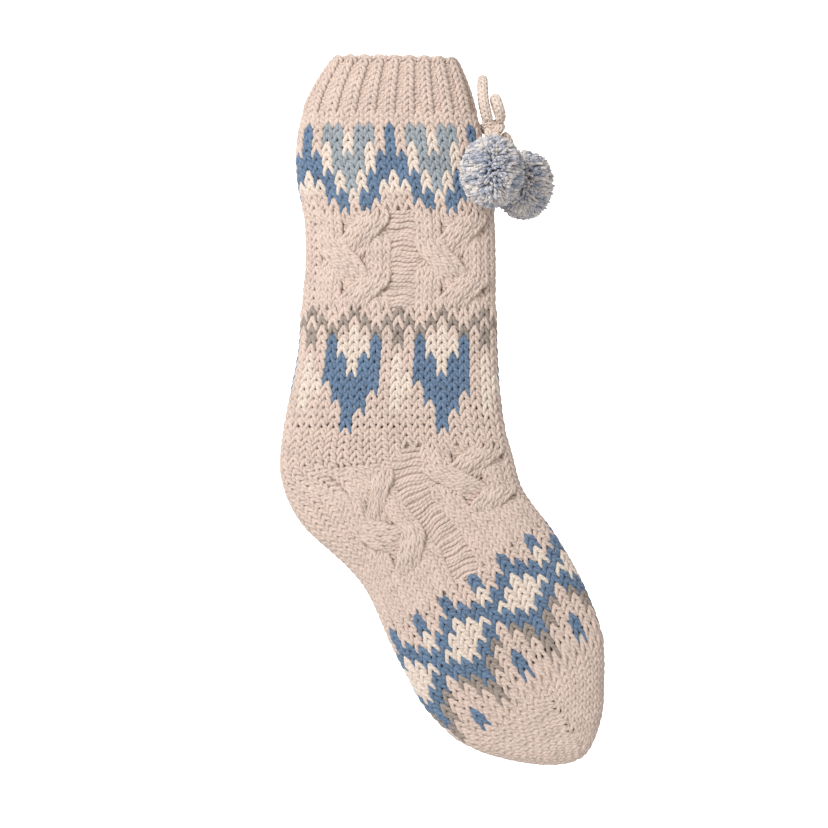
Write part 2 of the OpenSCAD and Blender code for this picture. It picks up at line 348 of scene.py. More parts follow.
class Yarn:
    """Gathers closed yarn tubes and makes one mesh of them."""

    def __init__(self, sides=8):
        self.sides = sides
        self.turn = np.linspace(0, 2 * math.pi, sides, endpoint=False)
        self.groups = []

    def add(self, paths, normals, radius, taper=0.0, shade=None):
        """paths is (tubes, samples, 3) in mm; radius one number, or one for each tube or sample."""
        tangent = unit(np.gradient(paths, axis=1))
        binormal = unit(np.cross(tangent, normals))
        upright = np.cross(binormal, tangent)
        cos = np.cos(self.turn)[:, None]
        sin = np.sin(self.turn)[:, None]
        ring = cos * upright[:, :, None] + sin * binormal[:, :, None]
        ends = np.linspace(-1, 1, paths.shape[1])[None, :]
        thick = np.broadcast_to(radius, paths.shape[:2]) * (1 - taper * np.abs(ends) ** 6)
        verts = paths[:, :, None] + ring * thick[:, :, None, None]
        step = np.linalg.norm(np.diff(paths, axis=1), axis=2)
        run = np.pad(np.cumsum(step, axis=1), ((0, 0), (1, 0)))
        shade = rng.random(len(paths)) if shade is None else shade
        self.groups.append((verts, run + 40 * rng.random((len(paths), 1)), shade))

    def knit(self, wale, rows, radius, **how):
        """Adds the stitches of a wale that start at these rows."""
        self.add(*stitch_paths(wale, rows, radius, **how), radius)

    def faces(self, tubes, samples, first):
        """Quads and end caps of a group whose vertices start at first."""
        s = self.sides
        base = first + np.arange(tubes)[:, None, None] * samples * s
        i = np.arange(samples - 1)[None, :, None] * s
        j = np.arange(s)[None, None, :]
        nxt = (j + 1) % s
        quads = np.stack([base + i + j, base + i + nxt, base + i + s + nxt, base + i + s + j], axis=-1)
        ring = first + np.arange(tubes)[:, None] * samples * s + np.arange(s)
        return quads.reshape(-1, 4), np.concatenate([ring[:, ::-1], ring + (samples - 1) * s])

    def bake_map(self, tubes, samples, cell, cells):
        """A UV cell of its own for each tube, so that no two share a spot."""
        s = self.sides
        u = np.arange(s)[None, :] / (s + 0.6) + 0.02
        v = np.arange(samples - 1)[:, None] / samples + 0.02
        one = 1 / (s + 0.6)
        up = 1 / samples
        square = ((0, 0), (1, 0), (1, 1), (0, 1))
        corners = [np.stack(np.broadcast_arrays(u + one * x, v + up * y), -1) for x, y in square]
        corners = np.stack(corners, axis=-2).reshape(-1, 2)
        dot = np.stack([np.cos(self.turn), np.sin(self.turn)], -1) * 0.012 + 0.97
        index = cell + np.arange(tubes)
        origin = np.stack([index % cells, index // cells], -1)[:, None]
        quads = (origin + corners * 0.94) / cells
        caps = ((origin + dot) / cells).reshape(-1, 2)
        return quads.reshape(-1, 2), np.concatenate([caps, caps])

    def gathered(self):
        """Vertices, faces, map places and attributes of all groups, joined."""
        cells = math.ceil(math.sqrt(sum(len(group[0]) for group in self.groups)))
        joined = {}
        first = cell = 0
        for points, run, tone in self.groups:
            tubes, samples = points.shape[:2]
            quads, caps = self.faces(tubes, samples, first)
            quad_map, cap_map = self.bake_map(tubes, samples, cell, cells)
            group = {
                "verts": points.reshape(-1, 3) * MM,
                "quads": quads,
                "caps": caps,
                "quad_map": quad_map,
                "cap_map": cap_map,
                "along": np.repeat(run.ravel(), self.sides),
                "turn_cos": np.tile(np.cos(self.turn), tubes * samples),
                "turn_sin": np.tile(np.sin(self.turn), tubes * samples),
                "shade": np.repeat(tone, samples * self.sides),
            }
            for key, values in group.items():
                joined.setdefault(key, []).append(values)
            first += points.size // 3
            cell += tubes
        return {key: np.concatenate(values) for key, values in joined.items()}

    def build(self, name, material):
        """One mesh object of all the tubes, with a bake map and its material's attributes."""
        joined = self.gathered()
        quads = joined["quads"]
        caps = joined["caps"]
        mesh = bpy.data.meshes.new(name)
        mesh.vertices.add(len(joined["verts"]))
        mesh.vertices.foreach_set("co", joined["verts"].astype(np.float32).ravel())
        loops = np.concatenate([quads.ravel(), caps.ravel()])
        starts = np.concatenate([np.arange(len(quads)) * 4, quads.size + np.arange(len(caps)) * self.sides])
        mesh.loops.add(len(loops))
        mesh.loops.foreach_set("vertex_index", loops.astype(np.int32))
        mesh.polygons.add(len(starts))
        mesh.polygons.foreach_set("loop_start", starts.astype(np.int32))
        mesh.update(calc_edges=True)
        mesh.polygons.foreach_set("use_smooth", np.ones(len(starts), bool))
        corners = np.concatenate([joined["quad_map"], joined["cap_map"]])
        mesh.uv_layers.new(name="OFBake").data.foreach_set("uv", corners.astype(np.float32).ravel())
        for label in ("along", "turn_cos", "turn_sin", "shade"):
            layer = mesh.attributes.new(label, "FLOAT", "POINT")
            layer.data.foreach_set("value", joined[label].astype(np.float32))
        mesh.materials.append(material)
        mesh.validate()
        return new_object(name, mesh)


# ---- materials


class Nodes:
    """Short names for building one node material."""

    def __init__(self, name):
        self.mat = bpy.data.materials.new(name)
        self.mat.use_nodes = True
        self.tree = self.mat.node_tree
        self.shader = self.tree.nodes["Principled BSDF"]

    def new(self, kind, **settings):
        node = self.tree.nodes.new(kind)
        for key, value in settings.items():
            setattr(node, key, value)
        return node

    def join(self, source, target):
        self.tree.links.new(source, target)

    def maths(self, operation, a, b=0.0):
        node = self.new("ShaderNodeMath", operation=operation)
        for value, socket in zip((a, b), node.inputs):
            if isinstance(value, (int, float)):
                socket.default_value = value
            else:
                self.join(value, socket)
        return node.outputs[0]

    def attribute(self, name):
        return self.new("ShaderNodeAttribute", attribute_name=name).outputs["Fac"]

    def noise(self, scale, detail=2.0):
        node = self.new("ShaderNodeTexNoise")
        self.join(self.new("ShaderNodeTexCoord").outputs["Object"], node.inputs["Vector"])
        node.inputs["Scale"].default_value = scale
        node.inputs["Detail"].default_value = detail
        return node.outputs["Fac"]

    def ramp(self, value, stops):
        node = self.new("ShaderNodeValToRGB")
        marks = node.color_ramp.elements
        for i in (0, -1):
            marks[i].position = stops[i][0]
            marks[i].color = (*stops[i][1], 1)
        for place, colour in stops[1:-1]:
            marks.new(place).color = (*colour, 1)
        self.join(value, node.inputs["Fac"])
        return node.outputs["Color"]

    def weighted(self, *parts):
        """The sum of some values, each times its weight."""
        total = self.maths("MULTIPLY", *parts[0])
        for value, weight in parts[1:]:
            total = self.maths("ADD", total, self.maths("MULTIPLY", value, weight))
        return total

    def bump(self, height, strength, distance):
        node = self.new("ShaderNodeBump")
        node.inputs["Strength"].default_value = strength
        node.inputs["Distance"].default_value = distance
        self.join(height, node.inputs["Height"])
        self.join(node.outputs["Normal"], self.shader.inputs["Normal"])

    def surface(self, colour, roughness, specular, sheen=0.0):
        self.join(colour, self.shader.inputs["Base Color"])
        self.shader.inputs["Roughness"].default_value = roughness
        self.shader.inputs["Specular IOR Level"].default_value = specular
        self.shader.inputs["Sheen Weight"].default_value = sheen


def from_srgb(*levels):
    """Linear colour of an sRGB colour given as 0 to 255."""
    shares = [v / 255 for v in levels]
    return tuple(v / 12.92 if v <= 0.04045 else ((v + 0.055) / 1.055) ** 2.4 for v in shares)


PLIES = 2
YARN_TWIST = 2.3  # how fast the plies wind round each other along the yarn
CORD_TWIST = 3.0
TUFT_TWIST = 3.4


def twisted_ply(nodes, twist):
    """Height of the plies twisted round each other, 0 to 1."""
    angle = nodes.maths("ARCTAN2", nodes.attribute("turn_sin"), nodes.attribute("turn_cos"))
    turned = nodes.maths("MULTIPLY", angle, float(PLIES))
    run = nodes.maths("MULTIPLY", nodes.attribute("along"), twist)
    wave = nodes.maths("SINE", nodes.maths("ADD", turned, run))
    return nodes.maths("ADD", nodes.maths("MULTIPLY", wave, 0.5), 0.5)


def yarn_material(name, stops, twist=YARN_TWIST):
    """Plied woollen yarn. stops runs from the grooves to the lit crests; the ply term is painted shade in
    the grooves and painted highlight on the crests, the rest random tone.
    """
    nodes = Nodes(name)
    ply = twisted_ply(nodes, twist)
    fibre = nodes.noise(2600.0, 3.0)
    cloud = nodes.noise(160.0, 2.0)
    # ply paints shade into the grooves between plies and a highlight on their crests; fibre, cloud and
    # shade are the wool's own random tone
    tone = nodes.weighted((ply, 0.30), (fibre, 0.42), (cloud, 0.38), (nodes.attribute("shade"), 0.16))
    nodes.bump(nodes.maths("ADD", ply, nodes.maths("MULTIPLY", fibre, 0.55)), 0.75, 0.00035)
    nodes.surface(nodes.ramp(tone, stops), roughness=0.88, specular=0.22, sheen=0.25)
    return nodes.mat


def around_tone(base, low, high):
    """Three stops of one yarn: groove, body and crest; the groove stop is painted shade and the crest stop
    painted highlight, which the random tone also reaches.
    """
    groove_shade_and_dark_tone = from_srgb(*[v * low for v in base])
    crest_highlight_and_light_tone = from_srgb(*[min(v * high, 250) for v in base])
    return [(0.30, groove_shade_and_dark_tone), (0.62, from_srgb(*base)), (0.95, crest_highlight_and_light_tone)]


# The dark stop is painted shade in the ply grooves and the light stop painted highlight on the crests; the
# random tone runs between them too.
YARNS = {  # each letter of the charts: name, colour, and how dark and how light it gets
    "O": ("oatmeal", (216, 195, 182), 0.86, 1.06),
    "C": ("cream", (228, 212, 198), 0.88, 1.04),
    "B": ("blue", (104, 126, 152), 0.78, 1.14),
    "P": ("pale_blue", (157, 164, 169), 0.84, 1.10),
    "G": ("grey", (156, 143, 133), 0.82, 1.10),
}
MATERIALS = {k: yarn_material(f"{name}_wool", around_tone(*tone)) for k, (name, *tone) in YARNS.items()}
CORD_WOOL = yarn_material("cord_wool", around_tone((230, 212, 198), 0.84, 1.08), CORD_TWIST)


# ---- fabric sections

PER_MIDDLE = 40  # samples of the middle line for each station
MIDDLE_PLACES = np.linspace(0, LAST, LAST * PER_MIDDLE + 1)
MIDDLE_SECTIONS = smooth(STATIONS, MIDDLE_PLACES)
MIDDLE_LINE = (MIDDLE_SECTIONS[:, 0:2] + MIDDLE_SECTIONS[:, 2:4]) / 2
MIDDLE_RUN = walked(MIDDLE_LINE)


def station_of_run(run):
    """The station at a distance along the stocking's middle, also past both ends."""
    inside = np.interp(run, MIDDLE_RUN, MIDDLE_PLACES)
    few = 8  # samples at either end that give the distance from station to station there
    first = (MIDDLE_RUN[few] - MIDDLE_RUN[0]) / (MIDDLE_PLACES[few] - MIDDLE_PLACES[0])
    last = (MIDDLE_RUN[-1] - MIDDLE_RUN[-1 - few]) / (MIDDLE_PLACES[-1] - MIDDLE_PLACES[-1 - few])
    over = np.maximum(run - MIDDLE_RUN[-1], 0) / last
    return inside + over + np.minimum(run, 0) / first


ROWS_PAST = 1.6
PER_ROW = 6


def even_rows(start, end, count):
    """Row numbers sampled finely, ROWS_PAST beyond both ends, and their stations."""
    first, last = np.interp([start, end], MIDDLE_PLACES, MIDDLE_RUN)
    rows = np.linspace(-ROWS_PAST, count + ROWS_PAST, int((count + 2 * ROWS_PAST) * PER_ROW) + 1)
    return rows, station_of_run(first + rows * (last - first) / count)


def straight_wale(rows, stations, k, lift=0.0, width=1.0):
    """A wale that keeps its place round the stocking."""
    return make_wale(lambda kk: (stations, np.full_like(stations, kk)), k, rows, lift, width)


def band_pull(k):
    """How many stations higher the foot band's lower edge lies at wale k."""
    return np.interp(wales_away(k), [0, 5, 8, 11, 15, 20], [0, 0, 0.42, 0.72, 0.72, 0.50])


def band_turn(k):
    """How many wales the foot band is turned round the foot at wale k."""
    places = [0, 3, 8, 11, 15, 20, 36, 40]
    return np.interp(np.mod(k, WALES), places, [-0.35, -0.75, -0.8, -0.45, -0.2, 0, 0, -0.35])


def foot_wale(rows, stations, k):
    """A wale of the foot band, pulled up and turned a little round the foot."""
    fall = np.clip(rows / FOOT_ROWS, 0, 1.1)
    return make_wale(lambda kk: (stations - band_pull(kk) * fall, kk + band_turn(kk) + 0 * rows), k, rows)


def knit_chart(yarns, start, end, chart, middle, yarn, course=straight_wale):
    """Stranded colour knitting from a chart of columns, each a string of rows."""
    repeat = len(chart)
    rows, stations = even_rows(start, end, len(chart[0]))
    for k in range(WALES):
        wale = course(rows, stations, k)
        column = chart[(k - middle) % repeat]
        for letter in sorted(set(column)):
            picked = np.array([row for row, colour in enumerate(column) if colour == letter])
            yarns.setdefault(letter, Yarn()).knit(wale, picked, yarn)


def mirrored(columns):
    """The full repeat from its middle column out to the far one."""
    return columns + columns[-2:0:-1]


# Rows from top to bottom: O oatmeal, C cream, B blue, P pale blue, G grey.
UPPER_CHART = mirrored(["OCCPPPPCO", "PPPPPCCBB", "PPCCCBBBO", "OOOBBBCOO", "BBBBBCCOO"])
LOWER_CHART = [
    "GOCCCCCBBBBBB",
    "OGOCCBBBBBBOO",
    "OOGBBBBBBOOOO",
    "OGOOOOOOOOOOO",
    "GOGGOCCCCCCOO",
    "OGOOOOOCCOOOO",
    "OOGBBBBBOOOOO",
    "OGOCCBBBBBOOO",
]
FOOT_CHART = mirrored(["BBBCCCCCBBBGGO", "OOBBCCCBBGGOOO", "OOOBBCBBGOOOOO", "BBCCBBBOOOOBBO"])
FOOT_ROWS = len(FOOT_CHART[0])

# The stations where one section of the fabric ends and the next begins.
CUFF_END = 2.0
UPPER_START = 2.37
LEG_START = 5
LOWER_START = 7.12
HEEL_START = 10
FOOT_START = 15.87
TOE_START = 20
TOE_END = 23.9

EDGE_YARN = 1.40
BAND_YARN = 1.27
CUFF_YARN = 1.16
CABLE_YARN = 1.17
HEEL_YARN = 1.18
TOE_YARN = 1.24


CUFF_ROWS = 9
CUFF_BULGE = 1.1
RIB = {"lift": 0.35, "width": 1.14}
GROOVE = {"lift": -1.2, "width": 0.86}


def add_cast_on(yarn, wale):
    """One lobe of the cast-on edge over the top of a rib."""
    t = np.linspace(0, math.pi, 17)[None, :]
    points = laid(wale, 0.30 - 0.75 * np.sin(t), -0.72 * np.cos(t), 0.25 - 0.9 * np.cos(t) ** 2)
    yarn.add(*points, CUFF_YARN * 1.05)


def make_cuff():
    """One by one rib with a lobed cast-on edge."""
    yarn = Yarn()
    rows, stations = even_rows(0, CUFF_END, CUFF_ROWS)
    fuller = CUFF_BULGE * np.sin(math.pi * np.clip(stations / 2.2, 0, 1))
    for k in range(WALES):
        rib = k % 2 == 0
        form = RIB if rib else GROOVE
        wale = straight_wale(rows, stations, k, form["lift"] + fuller, form["width"])
        yarn.knit(wale, np.arange(CUFF_ROWS), CUFF_YARN, purl=not rib)
        if rib:
            add_cast_on(yarn, wale)
    return yarn


STRAND_PLACES = np.array([[-1, -1, 0, 1], [0, 1, 1, 0], [1, 0, -1, -1]], float)
CROSSINGS = [(0.0, 0.36, 2, 1), (0.29, 0.69, 0, 2), (0.62, 0.98, 1, 0)]  # start, end, over, under
SQUEEZE = 0.75  # how close a plait's wales stand
OVER = 1.8  # lift of the strand that crosses over
UNDER = -0.7  # and of the one that passes under it
SPREAD = 0.38  # a crossing strand's wales stand this much wider apart
CROWN = 0.6  # how far the middle wale of a strand stands out
PLAIT_REACH = 1.02
DRAWN = 0.48  # how much longer the stitches of a crossing strand are drawn


def plait_course(strand, share):
    """Sideways place, lift, spread and drawing out of one strand at each share of its length."""
    place = np.full_like(share, STRAND_PLACES[strand, 0])
    lift = np.zeros_like(share)
    spread = np.ones_like(share)
    drawn = np.zeros_like(share)
    for i, (start, end, over, under) in enumerate(CROSSINGS):
        x = np.clip((share - start) / (end - start), 0, 1)
        place += (STRAND_PLACES[strand, i + 1] - STRAND_PLACES[strand, i]) * eased(x)
        bulge = np.sin(math.pi * x) ** 0.8
        if strand == over:
            lift += bulge * OVER
        if strand == under:
            lift += bulge * UNDER
        if strand in (over, under):
            spread += bulge * SPREAD
            drawn += bulge
    return place, lift, spread, np.clip(drawn, 0, 1)


def wales_behind(middle, back):
    """The plain wales behind a plait."""
    return [on_face(k, back) for k in np.arange(middle - 3, middle + 3.1)]


def make_plait(yarn, base, middle, share, pitch, first, last, radius, flip=False):
    """Three strands of three wales, from sample first to last of base(k)."""
    for strand in range(3):
        place, lift, spread, drawn = plait_course(strand, share)
        for column in (-1, 0, 1):
            shift = (place * 3 + column * spread) * SQUEEZE
            crown = lift + (CROWN if column == 0 else 0.0)

            def path(k, shift=shift, spread=spread):
                wales = middle + shift + k * SQUEEZE * spread
                return base(on_face(wales, flip))

            points = on_fabric(*path(0.0))
            step = np.diff(points, axis=0) * (1 - DRAWN * drawn[1:, None])
            rough = np.concatenate([[0], np.cumsum(np.linalg.norm(step, axis=1))])
            count = max(2, round((rough[last] - rough[first]) / pitch))
            rows = (rough - rough[first]) * count / (rough[last] - rough[first])
            wale = make_wale(path, 0.0, rows, crown)
            if flip:
                wale["side"] = -wale["side"]
            knit_wale(yarn, wale, np.arange(count), radius, PLAIT_REACH)


BAR_LAYERS = (  # the place of a bar in its row, its lift and its thickness
    (0.15, 0.45, 1.0),
    (0.65, 0.15, 1.0),
    (0.4, -1.25, 1.45),
    (0.9, -1.25, 1.45),
)
BAR_SHAKE = 0.07
BAR_ARCH = 0.30
BAR_TUCK = 1.5  # how far a bar's ends go in behind the wales beside it
LAST_TUCK = 1.6  # how much deeper the bars past both ends of a ladder lie


def add_bars(yarn, wale, count, radius):
    """The stretched bars of a purl ladder: two to a row, and two more behind the gaps."""
    a = np.linspace(-1, 1, 21)[None, :]
    first = np.arange(-1, count + 1)[:, None]
    for place, lift, thick in BAR_LAYERS:
        shaken = BAR_SHAKE * rng.normal(0, 1, (count + 2, 3))
        rows = first + place + shaken[:, :1] + BAR_ARCH * a**2 + 1.3 * shaken[:, 1:2] * a
        rows = rows + (0.10 + 0.5 * shaken[:, 2:]) * np.cos(6.0 * a + 0.9 * first)
        ends = np.where((first < 0) | (first >= count), -LAST_TUCK, 0.0)
        rise = lift + ends - BAR_TUCK * a**4 + 0.35 * np.cos(5 * a + 1.7 * first) + 0 * rows
        yarn.add(*laid(wale, rows, a / 2 + 0 * rows, rise), radius * thick)


UNDER_LAYER = -1.7  # lift of the plain knitting under the plaits
LEG_PLAITS = (5.7, 14.9)
LEG_EDGES = (0, 1.0, 2.0, 18.6, 19.3, 20.0)  # plain wales beside the plaits and on both outlines
LEG_ROWS = 12
LEG_LADDER = 10.3
LEG_LADDER_WIDTH = 3.7
LADDER_LIFT = -0.3


def make_leg_cables():
    """Two plaits with a ladder between them on each face of the leg."""
    yarn = Yarn()
    count = LEG_ROWS
    rows, stations = even_rows(LEG_START, LOWER_START, count)
    share = np.clip(rows / count, 0, 1)
    first = int(np.argmin(np.abs(rows)))
    last = int(np.argmin(np.abs(rows - count)))
    pitch = np.ptp(np.interp([LEG_START, LEG_START + 2], MIDDLE_PLACES, MIDDLE_RUN)) / count

    def base(k):
        return stations, k + 0 * stations

    for flip in (False, True):
        for middle in LEG_PLAITS:
            make_plait(yarn, base, middle, share, pitch, first, last, CABLE_YARN, flip)
            for k in wales_behind(middle, flip):
                wale = straight_wale(rows, stations, k, UNDER_LAYER)
                knit_wale(yarn, wale, np.arange(-2, count + 1), CABLE_YARN)
        for k in LEG_EDGES:
            if not (flip and k in (0, WALES / 2)):
                wale = straight_wale(rows, stations, on_face(k, flip), -0.5)
                yarn.knit(wale, np.arange(count), CABLE_YARN)
        wale = straight_wale(rows, stations, on_face(LEG_LADDER, flip), LADDER_LIFT, LEG_LADDER_WIDTH)
        add_bars(yarn, wale, count, CABLE_YARN)
    return yarn


# The heel turn: stations and sideways shifts of six wales at nine stages down the heel. Stage 1 is
# the end of the leg, 2 the gore line, 4 the bend into the foot and 7 the start of the foot band.
TURN_WALES = np.array([0, 2, 4, 8, 10, 20], float)
TURN_STATIONS = np.array([
    [9.4, 10, 11.3, 11.9, 12.6, 13.6, 14.6, 15.87, 16.5],
    [9.4, 10, 11.2, 11.75, 12.35, 13.4, 14.45, 15.87, 16.5],
    [9.4, 10, 11.05, 11.45, 12.2, 13.38, 14.43, 15.87, 16.5],
    [9.4, 10, 10.95, 11.15, 11.5, 12.6, 14.0, 15.87, 16.5],
    [9.4, 10, 10.8, 11.0, 11.35, 12.4, 13.9, 15.87, 16.5],
    [9.4, 10, 10.8, 11.1, 11.5, 12.6, 14.0, 15.87, 16.5],
])
TURN_SHIFTS = np.array([
    [0] * 9,
    [0, 0, -0.1, 0.9, 1.9, 1.4, 0.4, 0, 0],
    [0, 0, -0.2, 1.5, 2.3, 1.3, 0, 0, 0],
    [0, 0, 0, 0.3, 0.6, 0.5, 0.2, 0, 0],
    [0] * 9,
    [0] * 9,
])
PER_STAGE = 30
STAGES = np.linspace(0, 8, 8 * PER_STAGE + 1)


def at_stage(stage):
    """The number of the sample at a stage."""
    return round(stage * PER_STAGE)


STAGE_START = at_stage(1)
STAGE_END = at_stage(7)
TURN_FINE = np.stack([smooth(TURN_STATIONS.T, STAGES), smooth(TURN_SHIFTS.T, STAGES)], axis=2)


def turn_path(k):
    """Stations and wales of wale k through the heel turn, the same on both faces."""
    k = np.mod(k + 0 * STAGES, WALES)
    near = wales_away(k)
    i = np.clip(np.searchsorted(TURN_WALES, near, side="right") - 1, 0, len(TURN_WALES) - 2)
    u = (near - TURN_WALES[i]) / (TURN_WALES[i + 1] - TURN_WALES[i])
    at = np.arange(len(STAGES))
    mixed = TURN_FINE[at, i] * (1 - u)[:, None] + TURN_FINE[at, i + 1] * u[:, None]
    wales = near + mixed[:, 1]
    turned = band_turn(k) * eased((STAGES - 5.5) / 1.5)
    return mixed[:, 0], np.where(k > WALES / 2, WALES - wales, wales) + turned


def turn_run(k):
    return walked(on_fabric(*turn_path(k)))


def turn_wale(k, first, last, pitch, lift=0.0, width=1.0):
    """A wale through the heel turn and the rows of it from one sample to another."""
    run = turn_run(k)
    count = max(1, round((run[last] - run[first]) / pitch))
    rows = (run - run[first]) * count / (run[last] - run[first])
    return make_wale(turn_path, k, rows, lift, width), np.arange(count)


TURN_PITCH = 4.0
FAN_START = 2.4  # the stages between which half wales fill in near the sole
FAN_END = 6.9
HALF_WALES = {"lift": -0.2, "width": 0.58}
HEEL_GUIDES = ((2.9, 1.25), (5.5, 4.0), (9.5, 7.5))  # wales up to the first share the second's rows


def fan_width():
    """Near the sole the wales fan out, and half wales fill in between them."""
    x = np.clip((STAGES - FAN_START) / 0.8, 0, 1) * np.clip((FAN_END - STAGES) / 0.8, 0, 1)
    return 1 - 0.46 * x


def heel_wale(k, lift=0.0, width=1.0):
    """A wale of the heel whose rows line up with its neighbours'."""
    run = turn_run(next(guide for top, guide in HEEL_GUIDES if wales_away(k) <= top))
    whole = run[STAGE_END] - run[STAGE_START]
    rows = (run - run[STAGE_START]) * round(whole / TURN_PITCH) / whole
    return make_wale(turn_path, k, rows, lift, width)


def rows_between(wale, start, end):
    first, last = np.interp([start, end], STAGES, wale["rows"])
    return np.arange(math.ceil(first - 0.01), math.floor(last - 0.35) + 1)


def heel_end(near):
    """The stage where a plain wale ends, at the foot band or where the cables begin."""
    if near <= 2 or near > 18:
        return 7.0
    if near <= 9:
        return 3.9 + 0.08 * (9 - near)
    return 2.6 if near == 10 else 1.6


def make_heel():
    """Plain wales from the lower band, round the gore and on to the cables or foot band."""
    yarn = Yarn()
    for near in (0.5, 1.5, 2.5):
        for k in (near, WALES - near):
            wale = heel_wale(k, **HALF_WALES)
            knit_wale(yarn, wale, rows_between(wale, FAN_START, FAN_END), HEEL_YARN)
    for near in np.arange(2.5, 9):
        for k in (near, WALES - near):
            wale, rows = turn_wale(k, at_stage(1.5), at_stage(5.33), TURN_PITCH, UNDER_LAYER)
            knit_wale(yarn, wale, rows, HEEL_YARN)
    for k in range(WALES):
        near = wales_away(k)
        if near <= 9:
            wale = heel_wale(k, 0.0, fan_width() if near <= 2 else 1.0)
            rows = rows_between(wale, 1.0, heel_end(near))
        else:
            wale, rows = turn_wale(k, STAGE_START, at_stage(heel_end(near)), TURN_PITCH)
        knit_wale(yarn, wale, rows, HEEL_YARN)
    return yarn


FOOT_PITCH = 4.35
FOOT_PLAITS = ((6.1, 3.6, 6.4), (15.4, 1.5, 5.8))  # middle wale, and the stages it crosses between
FOOT_LADDER = 10.8
FOOT_LADDER_START = 1.67
FOOT_LADDER_WIDTH = 4.0


def make_foot_cables():
    """Two plaits with a ladder between them on each face of the foot."""
    yarn = Yarn()
    for flip in (False, True):
        for middle, start, end in FOOT_PLAITS:
            first = at_stage(start)
            run = turn_run(middle)
            share = np.clip((run - run[first]) / (run[at_stage(end)] - run[first]), 0, 1)
            make_plait(yarn, turn_path, middle, share, FOOT_PITCH, first, STAGE_END, CABLE_YARN, flip)
            for k in wales_behind(middle, flip):
                wale, rows = turn_wale(k, first, STAGE_END, FOOT_PITCH, UNDER_LAYER)
                knit_wale(yarn, wale, np.arange(-2, len(rows) + 1), CABLE_YARN)
        k = on_face(FOOT_LADDER, flip)
        first = at_stage(FOOT_LADDER_START)
        wale, rows = turn_wale(k, first, STAGE_END, FOOT_PITCH, LADDER_LIFT, FOOT_LADDER_WIDTH)
        add_bars(yarn, wale, len(rows), CABLE_YARN)
    return yarn


MITRE = 11.5  # the toe's wales from the sole and from the instep meet on this wale
TOE_PITCH = 4.2
TOE_PATH = np.linspace(18.7, 24.6, 220)  # stations along a toe wale
BEHIND_YARN = 1.3 * TOE_YARN
GRAFT_YARN = 1.15


def ring_lengths():
    """The weighted length round the front face at each sample down the surface."""
    front = SURFACE[:, : PER_WALE * WALES // 2 + 1]
    step = np.diff(front, axis=1) * np.array([1, DEPTH_WEIGHT, 1])
    return np.linalg.norm(step, axis=2).sum(1)


def toe_scale():
    """How much more of the ring a wale takes up as the toe's rings get shorter."""
    lengths = ring_lengths()
    here = np.interp(TOE_PATH * PER_STATION, np.arange(len(lengths)), lengths)
    return np.maximum(lengths[TOE_START * PER_STATION] / here, 1)


def mitred(side, near, scale):
    """Where a wale lies, at its own distance from the outline on its side of the mitre."""
    return side * scale if near < MITRE else WALES / 2 - (WALES / 2 - side) * scale


def make_toe():
    """Wales at an even spacing from both outlines, ending on the mitre line."""
    yarn = Yarn()
    scale = toe_scale()
    for k in range(WALES):
        near = wales_away(k)
        first = int(np.argmin(np.abs(TOE_PATH - TOE_START + band_pull(k))))

        def path(kk, near=near):
            place = mitred(wales_away(kk), near, scale)
            return TOE_PATH, on_face(place, np.mod(kk, WALES) > WALES / 2)

        run = walked(on_fabric(*path(float(k))))
        rows = (run - run[first]) / TOE_PITCH
        place = mitred(near, near, scale)
        met = place > MITRE if near < MITRE else place < MITRE
        met = met | (TOE_PATH > TOE_END)
        count = max(1, int(rows[np.argmax(met)] + 0.35))
        wale = make_wale(path, float(k), rows)
        yarn.knit(wale, np.arange(count), TOE_YARN)
        behind = make_wale(path, float(k), rows, UNDER_LAYER, 1.1)
        yarn.knit(behind, np.arange(-2.5, 2), BEHIND_YARN)
    add_graft(yarn)
    return yarn


def add_graft(yarn):
    """The stitches that close the toe's tip."""
    sole = on_fabric(np.array([TOE_END]), np.array([0.0]))[0]
    instep = on_fabric(np.array([TOE_END]), np.array([WALES / 2]))[0]
    depth = np.array([0, 1.0, 0])
    out = -unit(np.cross(instep - sole, depth))
    t = np.linspace(0, 1, 60)[:, None]
    for y in (-2.9, 0.0, 2.9):
        bow = depth * y - out * 0.06 * y * y
        centre = sole * (1 - t) + instep * t + bow + out * 1.2 * np.sin(math.pi * t)
        normal = unit(out + (instep - sole) * 0.05 * (t - 0.5))
        side = np.tile(depth * 3.6, (len(t), 1))
        wale = {"rows": walked(centre) / 3.4 - 0.6, "centre": centre, "side": side, "normal": normal}
        yarn.knit(wale, np.arange(3), GRAFT_YARN)


# ---- placing the fabric


def across_ankle(obj):
    """Bakes the place of a piece that runs from the leg to the foot into its mesh."""
    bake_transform(obj)


def place_yarns(yarns, name, body, nodes):
    """One piece for each yarn of a section, the first in place of its CAD nodes."""
    made = []
    for letter in sorted(yarns, key="OCBPG".index):
        colour = YARNS[letter][0]
        obj = yarns[letter].build(f"{name}_{colour}", MATERIALS[letter])
        if body is None:
            across_ankle(obj)
        else:
            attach(obj, body)
        made.append(obj)
    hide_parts(*nodes)
    return made


BACKING_IN = 4.0


def make_shade_backing():
    """One thin skin behind the stitches, where the fabric's purl side lies; its dark colour is painted
    shade.
    """
    points, _ = make_surface(BACKING_IN)
    rows = np.arange(0, int(TOE_END * PER_STATION) + 1, 4)
    cols = np.arange(0, WALES * PER_WALE + 1, 3) % (WALES * PER_WALE)  # its edges meet on the sole
    grid = points[rows][:, cols] * MM
    n, m = grid.shape[:2]
    i = np.arange(n - 1)[:, None] * m
    j = np.arange(m - 1)[None, :]
    faces = np.stack([i + j, i + m + j, i + m + j + 1, i + j + 1], axis=-1).reshape(-1, 4)
    mesh = bpy.data.meshes.new("painted_shade_backing")
    mesh.from_pydata(grid.reshape(-1, 3).tolist(), [], faces.tolist())
    mesh.materials.append(shade_backing_material())
    for face in mesh.polygons:
        face.use_smooth = True
    return new_object(mesh.name, mesh)


